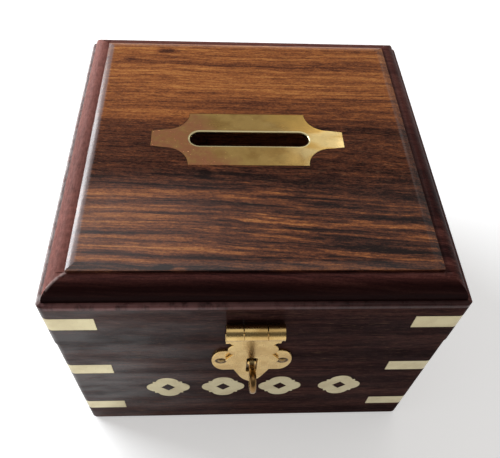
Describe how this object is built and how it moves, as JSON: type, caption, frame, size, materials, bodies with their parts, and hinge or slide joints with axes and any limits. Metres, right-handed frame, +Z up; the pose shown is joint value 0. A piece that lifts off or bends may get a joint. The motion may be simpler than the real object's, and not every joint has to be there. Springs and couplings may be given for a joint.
{
  "type": "wooden money box",
  "caption": "Hinged hardwood donation or money box with a moulded lid, a brass coin-slot plate, brass corner straps and inlays, and a brass hasp over a swivel eye.",
  "frame": {"origin": "centre of the underside of the box, on the surface it stands on", "axes": "+X to the right of someone facing the hasp, the front with the hasp faces -Y, +Z up"},
  "size_m": [0.1278, 0.1382, 0.0994],
  "materials": {
    "wood_wall": "dark rosewood, clear gloss lacquer",
    "wood_top": "streaked red-brown rosewood, clear gloss lacquer",
    "wood_base": "plain, unlacquered",
    "brass_inlay": "pale, sanded flush and lacquered over",
    "brass_slot_plate": "brushed and polished",
    "brass_hasp": "satin sheet, lightly pitted",
    "brass_hinge": "drawn, dull"
  },
  "bodies": {
    "box": {"base_board": "wood_base", "body_front_board": "wood_wall", "body_back_board": "wood_wall", "body_left_board": "wood_wall", "body_right_board": "wood_wall", "body_strap_upper_front_left": "brass_inlay", "body_strap_lower_front_left": "brass_inlay", "body_strap_upper_front_right": "brass_inlay", "body_strap_lower_front_right": "brass_inlay", "body_strap_upper_back_left": "brass_inlay", "body_strap_lower_back_left": "brass_inlay", "body_strap_upper_back_right": "brass_inlay", "body_strap_lower_back_right": "brass_inlay", "front_ornament_1": "brass_inlay", "front_ornament_2": "brass_inlay", "front_ornament_3": "brass_inlay", "front_ornament_4": "brass_inlay", "hinge_left_lower_leaf": "brass_hinge", "hinge_right_lower_leaf": "brass_hinge", "hinge_left_pin": "brass_hinge", "hinge_right_pin": "brass_hinge", "hinge_screws_in_body": "brass_hinge", "staple_plate": "brass_hasp", "staple_pins": "brass_hasp"},
    "lid": {"lid_front_rail": "wood_wall", "lid_back_rail": "wood_wall", "lid_left_rail": "wood_wall", "lid_right_rail": "wood_wall", "lid_top_board": "wood_top", "coin_slot_plate": "brass_slot_plate", "lid_strap_front_left": "brass_inlay", "lid_strap_front_right": "brass_inlay", "lid_strap_back_left": "brass_inlay", "lid_strap_back_right": "brass_inlay", "hinge_left_upper_leaf": "brass_hinge", "hinge_right_upper_leaf": "brass_hinge", "hinge_screws_in_lid": "brass_hinge", "hasp_fixed_leaf": "brass_hasp", "hasp_leaf_pins": "brass_hasp", "hasp_pin": "brass_hasp"},
    "hasp": {"hasp_swing_leaf": "brass_hasp"},
    "eye": {"swivel_eye": "brass_hasp"}
  },
  "joints": [
    {"name": "lid_hinge", "type": "hinge", "parent": "box", "child": "lid", "pos_m": [0, 0.0617, 0.06913], "axis": [-1, 0, 0], "range_deg": [0, 100]},
    {"name": "hasp_swing", "type": "hinge", "parent": "lid", "child": "hasp", "pos_m": [-0.0004, -0.06565, 0.0818], "axis": [-1, 0, 0], "range_deg": [0, 175]},
    {"name": "eye_turn", "type": "hinge", "parent": "box", "child": "eye", "pos_m": [-0.0004, -0.0707, 0.057], "axis": [0, -1, 0], "continuous": true}
  ]
}
